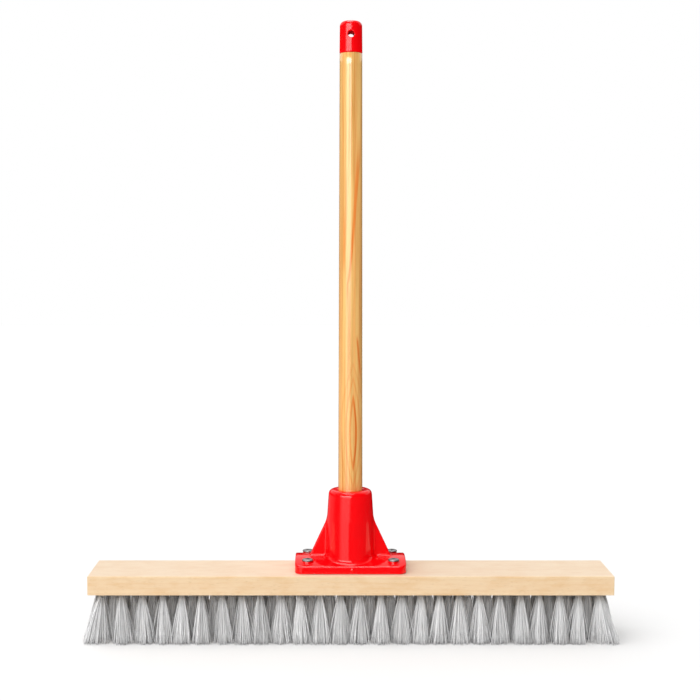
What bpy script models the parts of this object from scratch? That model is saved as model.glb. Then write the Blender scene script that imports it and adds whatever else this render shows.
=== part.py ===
"""Push broom: a wooden block with four rows of bristle tufts, a moulded bracket held down by
four wood screws, and a wooden handle that plugs into the bracket and ends in a plastic cap.

The frame is metric, +Z up. X runs along the block, -Y is the front of the broom, and the
origin is on the floor under the middle of the block. Run it in Blender's text editor or with
blender --background --python part.py
"""

import math

import bmesh
import bpy
from mathutils import Matrix

# ---------------------------------------------------------------- driving dimensions, in metres
GAP = 0.0003                     # air between neighbouring pieces

BLOCK_LENGTH = 0.610
BLOCK_DEPTH = 0.0762
BLOCK_HEIGHT = 0.0224
BLOCK_EDGE = 0.0007              # rounding of the block's edges

BRISTLE_TRIM = 0.0596            # from the block's underside to the floor
BRISTLE_SPREAD = 0.313           # half the width over the splayed end tufts, at the floor
BRISTLE_REACH = 0.0366           # half the depth over the splayed outer tufts, at the floor
TUFT_ROOT_RADIUS = 0.0034
TUFT_HOLE_RADIUS = 0.0038
TUFT_HOLE_DEPTH = 0.011
TUFT_MERGE_HEIGHT = 0.009        # below this the fans of neighbouring tufts run together
TUFTS_PER_GROUP = 3
ROW_PITCH = 0.018
TUFT_PITCH = 0.0232
LAST_TUFT = 0.297                # no tuft stands farther from the middle than this
TUFT_ROWS = (("front", 26), ("second", 27), ("third", 26), ("rear", 27))

BRACKET_SETBACK = 0.004          # the bracket and the handle stand this far behind the middle
PLATE_LENGTH = 0.1300
PLATE_DEPTH = 0.0665
PLATE_EDGE_HEIGHT = 0.0090
PLATE_CROWN = 0.0055              # the plate's middle is this much thicker than its edges
PLATE_CORNER = 0.0085

SOCKET_HEIGHT = 0.0942           # from the block's top to the rim
SOCKET_RIM_RADIUS = 0.0253
LIP_DROP = 0.0065                # how far the rounded lip falls from the rim to the wall
LIP_INNER_RADIUS = 0.0195        # where the rim's flat face ends
LIP_FULLNESS = 2.6               # 2 is a quarter ellipse, more is squarer
SOCKET_WAIST_RADIUS = 0.0276     # where the gussets start
SOCKET_BASE_RADIUS = 0.0282
SOCKET_FOOT_RADIUS = 0.0315      # the flare that meets the plate
SOCKET_FOOT_HEIGHT = 0.017
SOCKET_FLOOR = 0.005             # solid plastic under the handle's end

GUSSET_THICKNESS = 0.005
GUSSET_FOOT = 0.0482             # half the length over both gussets at the plate
GUSSET_TOP = 0.0590              # height of the gussets above the block's top

SCREW_SPACING_X = 0.1006
SCREW_SPACING_Y = 0.045
BOSS_BASE_RADIUS = 0.0064
BOSS_TOP_RADIUS = 0.0055
BOSS_HEIGHT = 0.0135             # from the plate's underside to the boss's face
SCREW_HEAD_RADIUS = 0.0066
SCREW_HEAD_HEIGHT = 0.0021
SCREW_SHANK_RADIUS = 0.0023
SCREW_LENGTH = 0.024             # under the head
SCREW_POINT = 0.005
RECESS_LENGTH = 0.0056
RECESS_WIDTH = 0.0013
RECESS_DEPTH = 0.0011

TOTAL_HEIGHT = 0.7203
HANDLE_TOP_RADIUS = 0.0130
HANDLE_RADIUS = 0.01425          # where the handle enters the socket
HANDLE_TIP_RADIUS = 0.0123
HANDLE_BREAK = 0.0008            # chamfer on the handle's turned ends
TENON_RADIUS = 0.0105
TENON_LENGTH = 0.0103
CAP_HEIGHT = 0.0366
CAP_TOP_RADIUS = 0.0128
CAP_BOTTOM_RADIUS = 0.0132
CAP_ROUNDING = 0.0034
CAP_HOLE_RADIUS = 0.0037
CAP_HOLE_BELOW_TOP = 0.0165

# ---------------------------------------------------------------- places that follow from them
BLOCK_BOTTOM = BRISTLE_TRIM
BLOCK_TOP = BLOCK_BOTTOM + BLOCK_HEIGHT
PLATE_BOTTOM = BLOCK_TOP + GAP
PLATE_EDGE_TOP = PLATE_BOTTOM + PLATE_EDGE_HEIGHT
PLATE_TOP = PLATE_EDGE_TOP + PLATE_CROWN
SOCKET_RIM = BLOCK_TOP + SOCKET_HEIGHT
BORE_FLOOR = PLATE_BOTTOM + SOCKET_FLOOR
BOSS_TOP = PLATE_BOTTOM + BOSS_HEIGHT
SCREW_SEAT = BOSS_TOP + GAP
CAP_BOTTOM = TOTAL_HEIGHT - CAP_HEIGHT
HANDLE_SHOULDER = CAP_BOTTOM - GAP
TENON_TOP = HANDLE_SHOULDER + TENON_LENGTH


# ---------------------------------------------------------------- helpers
def new_collection(name):
    collection = bpy.data.collections.new(name)
    bpy.context.scene.collection.children.link(collection)
    return collection


def new_material(name, colour, roughness, metallic=0.0):
    """A Principled material with one colour."""
    material = bpy.data.materials.new(name)
    material.use_nodes = True
    shader = material.node_tree.nodes["Principled BSDF"]
    shader.inputs["Base Color"].default_value = (*colour, 1.0)
    shader.inputs["Roughness"].default_value = roughness
    shader.inputs["Metallic"].default_value = metallic
    material.diffuse_color = (*colour, 1.0)
    return material


def add_object(name, mesh, collection, material=None):
    obj = bpy.data.objects.new(name, mesh)
    collection.objects.link(obj)
    if material:
        mesh.materials.append(material)
    return obj


def as_cutter(obj):
    """Only shapes other pieces: drawn as wire and never rendered."""
    obj.hide_render = True
    obj.display_type = "WIRE"
    return obj


def mesh_from_bmesh(name, bm, smooth_angle=40):
    mesh = bpy.data.meshes.new(name)
    bm.to_mesh(mesh)
    bm.free()
    mesh.shade_smooth()
    mesh.set_sharp_from_angle(angle=math.radians(smooth_angle))
    return mesh


def box_mesh(name, size, centre):
    bm = bmesh.new()
    bmesh.ops.create_cube(bm, size=1.0, matrix=Matrix.Translation(centre) @ Matrix.Diagonal((*size, 1.0)))
    return mesh_from_bmesh(name, bm)


def posts_mesh(name, places, bottom, top, radius, top_radius=None, sides=16):
    """Upright round posts, one at each (x, y) of places."""
    bm = bmesh.new()
    for x, y in places:
        bmesh.ops.create_cone(
            bm,
            cap_ends=True,
            segments=sides,
            radius1=radius,
            radius2=radius if top_radius is None else top_radius,
            depth=top - bottom,
            matrix=Matrix.Translation((x, y, (bottom + top) / 2)),
        )
    return mesh_from_bmesh(name, bm)


def turned(name, profile, steps, collection, material=None):
    """A turned piece: profile is (radius, height) points, down the outer side from the top."""
    mesh = bpy.data.meshes.new(name)
    points = [(radius, 0.0, height) for radius, height in profile]
    mesh.from_pydata(points, [(i, i + 1) for i in range(len(points) - 1)], [])
    obj = add_object(name, mesh, collection, material)
    screw = obj.modifiers.new("Turn", "SCREW")
    screw.angle = math.tau
    screw.steps = steps
    screw.render_steps = steps
    screw.use_smooth_shade = True
    screw.use_merge_vertices = True
    screw.merge_threshold = 0.00001
    weld = obj.modifiers.new("Close poles", "WELD")
    weld.merge_threshold = 0.00001
    return obj


def extruded_outline(name, points, thickness, placement, collection, material=None):
    """A flat outline with a thickness, made a mesh so that it can be cut and joined."""
    curve = bpy.data.curves.new(name + " outline", "CURVE")
    curve.dimensions = "2D"
    curve.fill_mode = "BOTH"
    curve.extrude = thickness / 2
    spline = curve.splines.new("POLY")
    spline.points.add(len(points) - 1)
    for point, (x, y) in zip(spline.points, points):
        point.co = (x, y, 0.0, 1.0)
    spline.use_cyclic_u = True
    outline = bpy.data.objects.new(name + " outline", curve)
    outline.matrix_world = placement
    collection.objects.link(outline)
    depsgraph = bpy.context.evaluated_depsgraph_get()
    mesh = bpy.data.meshes.new_from_object(outline.evaluated_get(depsgraph))
    mesh.name = name
    bm = bmesh.new()
    bm.from_mesh(mesh)
    bmesh.ops.remove_doubles(bm, verts=bm.verts, dist=0.00001)
    bmesh.ops.recalc_face_normals(bm, faces=bm.faces)
    bm.to_mesh(mesh)
    bm.free()
    obj = add_object(name, mesh, collection, material)
    obj.matrix_world = placement
    bpy.data.objects.remove(outline)
    return obj


def boolean(obj, operation, other):
    modifier = obj.modifiers.new(operation.title() + " " + other.name, "BOOLEAN")
    modifier.operation = operation
    modifier.solver = "EXACT"
    modifier.object = other
    return modifier


def arc(centre_x, centre_y, radius, start, end, segments):
    """Points on an arc, angles in degrees, both ends included."""
    angles = [math.radians(start + (end - start) * i / segments) for i in range(segments + 1)]
    return [(centre_x + radius * math.cos(a), centre_y + radius * math.sin(a)) for a in angles]


def rounded_rectangle(length, depth, radius, segments=6):
    """Outline of a rectangle with round corners, centred on its origin."""
    across = length / 2 - radius
    along = depth / 2 - radius
    corners = ((across, along, 0), (-across, along, 90), (-across, -along, 180), (across, -along, 270))
    return [p for x, y, start in corners for p in arc(x, y, radius, start, start + 90, segments)]


def screw_places():
    """The four screws: a name and (x, y) for each."""
    places = []
    for side, y in (("front", -1), ("rear", 1)):
        for hand, x in (("left", -1), ("right", 1)):
            centre = (x * SCREW_SPACING_X / 2, BRACKET_SETBACK + y * SCREW_SPACING_Y / 2)
            places.append((side + "_" + hand, centre))
    return places


def row_places():
    """The four rows of tufts: a name, the row's y and the x of each tuft."""
    rows = []
    first_y = -ROW_PITCH * (len(TUFT_ROWS) - 1) / 2
    for number, (name, count) in enumerate(TUFT_ROWS):
        xs = [TUFT_PITCH * (i - (count - 1) / 2) for i in range(count)]
        xs = [max(-LAST_TUFT, min(LAST_TUFT, x)) for x in xs]
        rows.append((name, first_y + number * ROW_PITCH, xs))
    return rows


# ---------------------------------------------------------------- the pieces
def make_block(parts, cutters, material):
    """The wooden block, drilled from below for the tufts and from above for the screws."""
    size = (BLOCK_LENGTH, BLOCK_DEPTH, BLOCK_HEIGHT)
    centre = (0.0, 0.0, BLOCK_BOTTOM + BLOCK_HEIGHT / 2)
    block = add_object("head_block", box_mesh("head_block", size, centre), parts, material)
    edges = block.modifiers.new("Soft edges", "BEVEL")
    edges.width = BLOCK_EDGE
    edges.segments = 2

    tuft_places = [(x, y) for _, y, xs in row_places() for x in xs]
    below = BLOCK_BOTTOM - TUFT_HOLE_DEPTH
    tuft_holes = posts_mesh(
        "tuft_holes", tuft_places, below, BLOCK_BOTTOM + TUFT_HOLE_DEPTH, TUFT_HOLE_RADIUS, sides=8
    )
    boolean(block, "DIFFERENCE", as_cutter(add_object("tuft_holes", tuft_holes, cutters)))

    screw_tip = SCREW_SEAT - SCREW_LENGTH
    pilot_places = [place for _, place in screw_places()]
    pilot_holes = posts_mesh(
        "pilot_holes", pilot_places, screw_tip - GAP, BLOCK_TOP + 0.005, SCREW_SHANK_RADIUS + GAP, sides=12
    )
    boolean(block, "DIFFERENCE", as_cutter(add_object("pilot_holes", pilot_holes, cutters)))
    return block


def make_socket_form(cutters):
    """The socket's outer form: a tapered cup with a rounded lip and a flared foot."""
    lip_turns = [math.radians(90 * i / 7) for i in range(8)]
    lip_run = SOCKET_RIM_RADIUS - LIP_INNER_RADIUS
    lip = []
    for a in lip_turns:
        out = max(math.sin(a), 0.0) ** (2 / LIP_FULLNESS)
        up = max(math.cos(a), 0.0) ** (2 / LIP_FULLNESS)
        lip.append((LIP_INNER_RADIUS + lip_run * out, SOCKET_RIM - LIP_DROP * (1 - up)))
    waist = [(SOCKET_WAIST_RADIUS, BLOCK_TOP + GUSSET_TOP)]
    foot_top = BLOCK_TOP + SOCKET_FOOT_HEIGHT
    run = SOCKET_FOOT_RADIUS - SOCKET_BASE_RADIUS
    rise = SOCKET_FOOT_HEIGHT - PLATE_EDGE_HEIGHT
    quarter = [math.radians(90 * i / 4) for i in range(5)]
    foot = [
        (SOCKET_BASE_RADIUS + run * (1 - math.cos(a)), foot_top - rise * math.sin(a)) for a in quarter
    ]
    buried = PLATE_BOTTOM + PLATE_EDGE_HEIGHT / 2
    profile = [(0.0, SOCKET_RIM), *lip, *waist, *foot, (SOCKET_FOOT_RADIUS, buried), (0.0, buried)]
    form = turned("socket_form", profile, 48, cutters)
    form.location.y = BRACKET_SETBACK
    return as_cutter(form)


def make_gusset_form(cutters):
    """Both gussets as one trapezium that runs through the socket."""
    foot = PLATE_BOTTOM + PLATE_EDGE_HEIGHT / 2
    slope = (GUSSET_FOOT - SOCKET_WAIST_RADIUS) / (BLOCK_TOP + GUSSET_TOP - PLATE_TOP)
    foot_reach = GUSSET_FOOT + slope * (PLATE_TOP - foot)
    top = BLOCK_TOP + GUSSET_TOP
    points = [
        (-foot_reach, foot),
        (foot_reach, foot),
        (SOCKET_WAIST_RADIUS, top),
        (-SOCKET_WAIST_RADIUS, top),
    ]
    upright = Matrix.Translation((0.0, BRACKET_SETBACK, 0.0)) @ Matrix.Rotation(math.pi / 2, 4, "X")
    return as_cutter(extruded_outline("gusset_form", points, GUSSET_THICKNESS, upright, cutters))


def make_crown_form(cutters):
    """A long drum whose top arc is the crown of the plate."""
    half_depth = PLATE_DEPTH / 2
    radius = (half_depth**2 + PLATE_CROWN**2) / (2 * PLATE_CROWN)
    bm = bmesh.new()
    centre = Matrix.Translation((0.0, BRACKET_SETBACK, PLATE_TOP - radius))
    bmesh.ops.create_cone(
        bm,
        cap_ends=True,
        segments=120,
        radius1=radius,
        radius2=radius,
        depth=PLATE_LENGTH * 1.2,
        matrix=centre @ Matrix.Rotation(math.pi / 2, 4, "Y"),
    )
    return as_cutter(add_object("crown_form", mesh_from_bmesh("crown_form", bm), cutters))


def make_bracket(parts, cutters, material):
    """The moulded bracket: a crowned plate, a socket, two gussets and four screw bosses."""
    thickness = PLATE_TOP - PLATE_BOTTOM
    placement = Matrix.Translation((0.0, BRACKET_SETBACK, PLATE_BOTTOM + thickness / 2))
    outline = rounded_rectangle(PLATE_LENGTH, PLATE_DEPTH, PLATE_CORNER)
    bracket = extruded_outline("handle_bracket", outline, thickness, placement, parts, material)
    boolean(bracket, "INTERSECT", make_crown_form(cutters))
    boolean(bracket, "UNION", make_socket_form(cutters))
    boolean(bracket, "UNION", make_gusset_form(cutters))

    places = [place for _, place in screw_places()]
    boss_bottom = PLATE_BOTTOM + PLATE_EDGE_HEIGHT / 2
    bosses = posts_mesh(
        "boss_forms", places, boss_bottom, BOSS_TOP, BOSS_BASE_RADIUS, BOSS_TOP_RADIUS, sides=24
    )
    boolean(bracket, "UNION", as_cutter(add_object("boss_forms", bosses, cutters)))

    margin = 0.005
    screw_holes = posts_mesh(
        "screw_holes", places, PLATE_BOTTOM - margin, BOSS_TOP + margin, SCREW_SHANK_RADIUS + GAP, sides=12
    )
    boolean(bracket, "DIFFERENCE", as_cutter(add_object("screw_holes", screw_holes, cutters)))

    mouth_radius = handle_radius_at(SOCKET_RIM + margin) + GAP * 1.2
    floor_radius = handle_radius_at(BORE_FLOOR + 2 * GAP) + GAP * 1.2
    centre = [(0.0, BRACKET_SETBACK)]
    bore = posts_mesh("socket_bore", centre, BORE_FLOOR, SOCKET_RIM + margin, floor_radius, mouth_radius, 40)
    boolean(bracket, "DIFFERENCE", as_cutter(add_object("socket_bore", bore, cutters)))
    return bracket


def handle_radius_at(height):
    """The handle's tapered end: its radius at a height inside or just above the socket."""
    tip = BORE_FLOOR + 2 * GAP
    taper = (HANDLE_RADIUS - HANDLE_TIP_RADIUS) / (SOCKET_RIM - tip)
    return HANDLE_TIP_RADIUS + taper * (height - tip)


def make_screws(parts, cutters, material):
    """Four round-headed wood screws with a cross recess."""
    head_top = SCREW_SEAT + SCREW_HEAD_HEIGHT

    dome = arc(0.0, 0.0, 1.0, 90, 20, 5)
    head = [(x * SCREW_HEAD_RADIUS, SCREW_SEAT + y * SCREW_HEAD_HEIGHT) for x, y in dome]
    profile = [
        *head,
        (SCREW_HEAD_RADIUS, SCREW_SEAT + 0.0003),
        (SCREW_HEAD_RADIUS - 0.0002, SCREW_SEAT),
        (SCREW_SHANK_RADIUS, SCREW_SEAT),
        (SCREW_SHANK_RADIUS, SCREW_SEAT - SCREW_LENGTH + SCREW_POINT),
        (0.0, SCREW_SEAT - SCREW_LENGTH),
    ]
    profile[0] = (0.0, head_top)
    lengthwise = (RECESS_LENGTH, RECESS_WIDTH, 2 * RECESS_DEPTH)
    crosswise = (RECESS_WIDTH, RECESS_LENGTH, 2 * RECESS_DEPTH)
    middle = (0.0, 0.0, head_top)
    blades = (
        ("lengthwise", box_mesh("slot_lengthwise", lengthwise, middle)),
        ("crosswise", box_mesh("slot_crosswise", crosswise, middle)),
    )
    screws = []
    for name, (x, y) in screw_places():
        screw = turned("bracket_screw_" + name, profile, 24, parts, material)
        screw.location = (x, y, 0.0)
        for direction, blade in blades:
            slot = as_cutter(add_object(f"slot_{direction}_{name}", blade, cutters))
            slot.parent = screw
            boolean(screw, "DIFFERENCE", slot)
        screws.append(screw)
    return screws


def make_handle(parts, material):
    """The turned wooden handle: a tenon for the cap, a long shaft and a tapered end."""
    tip = BORE_FLOOR + 2 * GAP
    profile = [
        (0.0, TENON_TOP),
        (TENON_RADIUS - HANDLE_BREAK, TENON_TOP),
        (TENON_RADIUS, TENON_TOP - HANDLE_BREAK),
        (TENON_RADIUS, HANDLE_SHOULDER),
        (HANDLE_TOP_RADIUS - HANDLE_BREAK / 2, HANDLE_SHOULDER),
        (HANDLE_TOP_RADIUS, HANDLE_SHOULDER - HANDLE_BREAK / 2),
        (HANDLE_RADIUS, SOCKET_RIM),
        (HANDLE_TIP_RADIUS, tip + HANDLE_BREAK),
        (HANDLE_TIP_RADIUS - HANDLE_BREAK, tip),
        (0.0, tip),
    ]
    handle = turned("handle", profile, 40, parts, material)
    handle.location.y = BRACKET_SETBACK
    return handle


def make_cap(parts, cutters, material):
    """The moulded cap: a rounded plug over the tenon, with a hole to hang the broom by."""
    rounding = arc(CAP_TOP_RADIUS - CAP_ROUNDING, TOTAL_HEIGHT - CAP_ROUNDING, CAP_ROUNDING, 90, 0, 6)
    inner_radius = TENON_RADIUS + GAP
    ceiling = TENON_TOP + GAP
    profile = [
        (0.0, TOTAL_HEIGHT),
        *rounding,
        (CAP_BOTTOM_RADIUS, CAP_BOTTOM + HANDLE_BREAK / 2),
        (CAP_BOTTOM_RADIUS - HANDLE_BREAK / 2, CAP_BOTTOM),
        (inner_radius, CAP_BOTTOM),
        (inner_radius, ceiling),
        (0.0, ceiling),
    ]
    cap = turned("handle_cap", profile, 40, parts, material)
    cap.location.y = BRACKET_SETBACK
    bm = bmesh.new()
    centre = Matrix.Translation((0.0, 0.0, TOTAL_HEIGHT - CAP_HOLE_BELOW_TOP))
    bmesh.ops.create_cone(
        bm,
        cap_ends=True,
        segments=24,
        radius1=CAP_HOLE_RADIUS,
        radius2=CAP_HOLE_RADIUS,
        depth=CAP_BOTTOM_RADIUS * 3,
        matrix=centre @ Matrix.Rotation(math.pi / 2, 4, "X"),
    )
    hole = as_cutter(add_object("hang_hole", mesh_from_bmesh("hang_hole", bm), cutters))
    hole.parent = cap
    boolean(cap, "DIFFERENCE", hole)
    return cap


def toward_root(outer, root, free):
    """A fan's side at the merge height: it leans in to its root only where it stands free."""
    if not free:
        return outer
    return outer + (root - outer) * TUFT_MERGE_HEIGHT / BRISTLE_TRIM


def tuft_group_mesh(name, centres, y, sides_x, sides_y, free_x, free_y):
    """A few neighbouring tufts of one row as one body.

    Each tuft is lofted from its rectangle at the merge height to a round root, and the
    rectangles share their sides, so the fans run together near the floor.
    centres are the tufts' x, sides_x the group's two ends, sides_y its front and back, and
    free_x and free_y say which of those have no neighbour.
    """
    middles = [(a + b) / 2 for a, b in zip(centres, centres[1:])]
    borders = [sides_x[0], *middles, sides_x[1]]
    columns = [borders[0]]
    for centre, border in zip(centres, borders[1:]):
        columns += [centre, border]
    last = len(columns) - 1
    rows = [sides_y[0], y, sides_y[1]]

    merged_columns = list(columns)
    merged_columns[0] = toward_root(columns[0], centres[0] - TUFT_ROOT_RADIUS, free_x[0])
    merged_columns[last] = toward_root(columns[last], centres[-1] + TUFT_ROOT_RADIUS, free_x[1])
    merged_rows = [
        toward_root(rows[0], y - TUFT_ROOT_RADIUS, free_y[0]),
        y,
        toward_root(rows[2], y + TUFT_ROOT_RADIUS, free_y[1]),
    ]

    bm = bmesh.new()
    floor = {}
    merged = {}
    for i in range(last + 1):
        for j in range(3):
            if j != 1 or i in (0, last):
                floor[i, j] = bm.verts.new((columns[i], rows[j], 0.0))
            if j != 1 or i % 2 == 0:
                merged[i, j] = bm.verts.new((merged_columns[i], merged_rows[j], TUFT_MERGE_HEIGHT))

    outline = [(i, 0) for i in range(last + 1)] + [(last, 1)]
    outline += [(i, 2) for i in range(last, -1, -1)] + [(0, 1)]
    bm.faces.new([floor[key] for key in reversed(outline)])
    for key, following in zip(outline, outline[1:] + outline[:1]):
        bm.faces.new((floor[key], floor[following], merged[following], merged[key]))

    root_top = BLOCK_BOTTOM + TUFT_HOLE_DEPTH - GAP
    around = [(1, 1), (0, 1), (-1, 1), (-1, 0), (-1, -1), (0, -1), (1, -1), (1, 0)]
    for number, centre in enumerate(centres):
        i = 2 * number + 1
        skirt = [merged[i + di, 1 + dj] for di, dj in around]
        rings = [skirt]
        for height in (BLOCK_BOTTOM, root_top):
            angles = [math.atan2(dj, di) for di, dj in around]
            rings.append([
                bm.verts.new((
                    centre + TUFT_ROOT_RADIUS * math.cos(a),
                    y + TUFT_ROOT_RADIUS * math.sin(a),
                    height,
                ))
                for a in angles
            ])
        for lower, upper in zip(rings, rings[1:]):
            for k in range(8):
                n = (k + 1) % 8
                bm.faces.new((lower[k], lower[n], upper[n], upper[k]))
        bm.faces.new(rings[-1])
    return mesh_from_bmesh(name, bm, smooth_angle=60)


def make_tufts(parts, material):
    """Every row of tufts, in groups of neighbours."""
    groups = []
    rows = row_places()
    for row_number, (row_name, y, xs) in enumerate(rows):
        free_y = (row_number == 0, row_number == len(rows) - 1)
        front = -BRISTLE_REACH if free_y[0] else y - ROW_PITCH / 2 + GAP / 2
        back = BRISTLE_REACH if free_y[1] else y + ROW_PITCH / 2 - GAP / 2
        for number, first in enumerate(range(0, len(xs), TUFTS_PER_GROUP)):
            centres = xs[first:first + TUFTS_PER_GROUP]
            after = first + len(centres)
            free_x = (first == 0, after == len(xs))
            left = -BRISTLE_SPREAD if free_x[0] else (xs[first - 1] + centres[0] + GAP) / 2
            right = BRISTLE_SPREAD if free_x[1] else (centres[-1] + xs[after] - GAP) / 2
            name = f"tufts_{row_name}_{number + 1}"
            mesh = tuft_group_mesh(name, centres, y, (left, right), (front, back), free_x, free_y)
            groups.append(add_object(name, mesh, parts, material))
    return groups


def main():
    for obj in list(bpy.data.objects):
        bpy.data.objects.remove(obj, do_unlink=True)

    parts = new_collection("push_broom")
    cutters = new_collection("cutters")

    beech = new_material("pale_wood", (0.82, 0.60, 0.36), 0.55)
    pine = new_material("varnished_pine", (0.80, 0.46, 0.17), 0.30)
    plastic = new_material("red_plastic", (0.80, 0.008, 0.012), 0.28)
    steel = new_material("screw_steel", (0.42, 0.41, 0.40), 0.35, 1.0)
    bristle = new_material("grey_bristle", (0.42, 0.42, 0.42), 0.50)

    make_block(parts, cutters, beech)
    make_bracket(parts, cutters, plastic)
    make_screws(parts, cutters, steel)
    make_tufts(parts, bristle)
    handle = make_handle(parts, pine)
    cap = make_cap(parts, cutters, plastic)

    pull_out = bpy.data.objects.new("handle_pull_out", None)
    pull_out.location = (0.0, BRACKET_SETBACK, SOCKET_RIM)
    parts.objects.link(pull_out)
    bpy.context.view_layer.update()
    for piece in (handle, cap):
        piece.parent = pull_out
        piece.matrix_parent_inverse = pull_out.matrix_world.inverted()


main()
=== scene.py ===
"""Push broom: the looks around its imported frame.

Every size below is in metres. X runs along the block, -Y is the broom's front, and the bristle
tips stand on z = 0. Each operator makes one piece, or one group of like pieces.
"""

import math

import bmesh
import bpy
import numpy as np
from mathutils import Matrix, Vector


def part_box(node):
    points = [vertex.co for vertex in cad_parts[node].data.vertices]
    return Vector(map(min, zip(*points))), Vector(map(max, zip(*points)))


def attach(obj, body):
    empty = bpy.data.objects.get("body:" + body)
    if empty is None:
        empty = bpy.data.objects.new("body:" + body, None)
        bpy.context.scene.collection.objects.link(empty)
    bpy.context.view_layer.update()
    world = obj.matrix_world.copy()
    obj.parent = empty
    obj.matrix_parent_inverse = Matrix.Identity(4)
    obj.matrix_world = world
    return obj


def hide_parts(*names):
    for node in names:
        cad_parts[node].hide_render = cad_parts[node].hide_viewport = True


bl_info = {
    "name": "Push Broom",
    "version": (1, 0, 0),
    "blender": (4, 5, 0),
    "location": "3D View > Sidebar > Broom",
    "description": "Makes a push broom with filament bristles, turned wood and a moulded bracket",
    "category": "Add Mesh",
}

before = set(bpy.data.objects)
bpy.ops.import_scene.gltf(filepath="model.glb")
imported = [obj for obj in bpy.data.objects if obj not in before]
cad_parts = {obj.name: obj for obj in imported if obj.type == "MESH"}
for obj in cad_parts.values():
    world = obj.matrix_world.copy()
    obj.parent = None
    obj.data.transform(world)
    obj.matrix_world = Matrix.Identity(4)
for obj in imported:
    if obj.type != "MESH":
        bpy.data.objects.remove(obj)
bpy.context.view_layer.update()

BLOCK_LOW, BLOCK_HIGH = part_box("head_block")
BRACKET_LOW, BRACKET_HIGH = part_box("handle_bracket")
HANDLE_LOW, HANDLE_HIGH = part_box("handle")
CAP_LOW, CAP_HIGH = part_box("handle_cap")

SCREW_NODES = [
    f"bracket_screw_{side}_{hand}" for side in ("front", "rear") for hand in ("left", "right")
]
SCREW_BOXES = [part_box(name) for name in SCREW_NODES]

# row name, number of tufts, half the length of the evenly pitched row, the row's y
TUFT_ROWS = (
    ("front", 26, 0.2900, -0.027),
    ("second", 27, 0.3016, -0.009),
    ("third", 26, 0.2900, 0.009),
    ("rear", 27, 0.3016, 0.027),
)
LAST_TUFT = 0.297                               # no tuft stands farther from the middle than this
GROUPS_PER_ROW = 9

AXIS_Y = (BRACKET_LOW.y + BRACKET_HIGH.y) / 2   # the bracket, the handle and the cap share this axis
GAP = 0.0003                                    # air between neighbouring pieces

HANDLE_RADIUS = 0.01425                         # at the socket's rim, where the handle is thickest
NECK_RADIUS = 0.0130                            # under the cap
TIP_RADIUS = 0.0123                             # the tapered end, inside the socket
TENON_RADIUS = 0.0105                           # inside the cap
END_BREAK = 0.0008                              # chamfer of the handle's ends
SHOULDER_BREAK = 0.0004                         # chamfer of the shoulder under the cap

PLATE_EDGE = 0.0090                             # thickness of the plate at its long edges
LIP_FULLNESS = 2.6                              # 2 rounds the lip like an ellipse, more makes it fuller
SOCKET_FLOOR = 0.005                            # plastic under the handle's end
BOSS_RADIUS = 0.0055
BOSS_DRAFT = 0.22                               # slope of a boss's side
BOSS_DROP = 0.0024                              # from the top of a screw to the top of its boss
SCREW_HOLE_RADIUS = 0.0026
PIP_RADIUS = 0.0014                             # the moulding gate's pip on the plate's front edge

CAP_CELL = 0.0005                               # size of the faces the cap is made of
CAP_TAPER = 0.0110                              # how much the cap narrows per metre of height
CAP_DOME_RADIUS = 0.060
CAP_EDGE = 0.0045                               # rounding between the cap's side and its dome
CAP_BORE_RADIUS = 0.0108
HANG_HOLE_RADIUS = 0.0037
HANG_HOLE_DROP = 0.0165                         # from the cap's top to the middle of the hole

HEAD_RADIUS = 0.0066                            # a screw's head
HEAD_DROP = 0.0021                              # from the top of the head to the seat under it
SHANK_RADIUS = 0.0023
THREAD_ROOT_RADIUS = 0.0018
THREAD_TURNS = 9
RECESS_LENGTH, RECESS_WIDTH, RECESS_DEPTH = 0.0056, 0.0012, 0.0022

BRISTLE_SPREAD = 0.3127                         # no filament reaches farther than this along the block
BRISTLE_DEPTH = 0.0377                          # nor farther than this across it
OUTER_LEAN = 0.0009                             # how far the front and rear rows lean outward


# ---------------------------------------------------------------- sizes and colours a user may change
def length(name, description, default):
    return bpy.props.FloatProperty(
        name=name,
        description=description,
        default=default,
        min=0.0,
        precision=5,
        subtype="DISTANCE",
        unit="LENGTH",
    )


def colour(name, description, default):
    return bpy.props.FloatVectorProperty(
        name=name,
        description=description,
        default=default,
        min=0.0,
        max=1.0,
        size=3,
        subtype="COLOR",
    )


class BristleSettings(bpy.types.PropertyGroup):
    filaments: bpy.props.IntProperty(
        name="Filaments", description="Filaments in each tuft", default=190, min=10, max=400
    )
    thickness: length("Thickness", "Diameter of one filament", 0.00056)
    root_radius: length("Root radius", "Radius of a tuft where it leaves the block", 0.0022)
    fan_width: length("Fan width", "Half the width of a tuft at the floor", 0.0119)
    fan_depth: length("Fan depth", "Half the depth of a tuft at the floor", 0.0100)
    unevenness: length("Unevenness", "How far the trimmed tips differ in height", 0.0009)
    tone: colour("Filament", "Colour of the filaments", (0.93, 0.93, 0.93))


class BracketSettings(bpy.types.PropertyGroup):
    cell: length("Cell", "Size of the faces the moulding is made of", 0.0009)
    corner: length("Plate corner", "Radius of the plate's corners", 0.0085)
    crown: length("Crown", "How much thicker the plate is along its middle", 0.0055)
    rim_radius: length("Rim radius", "Radius of the socket under its lip", 0.0253)
    waist_radius: length("Waist radius", "Radius of the socket at the top of the gussets", 0.0276)
    base_radius: length("Base radius", "Radius of the socket above its foot", 0.0282)
    lip_drop: length("Lip drop", "How far the rounded lip falls from the rim to the wall", 0.0065)
    lip_inner: length("Lip start", "Radius where the flat rim ends", 0.0195)
    gusset_thickness: length("Gusset thickness", "Thickness of a gusset", 0.005)
    gusset_foot: length("Gusset foot", "Half the length over both gussets at the plate", 0.0482)
    gusset_top: length("Gusset top", "Height of the gussets above the block", 0.059)
    fillet: length("Foot fillet", "Radius where the socket meets the plate", 0.0042)
    red: colour("Plastic", "Colour of the moulded plastic", (0.93, 0.0010, 0.0035))


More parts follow.
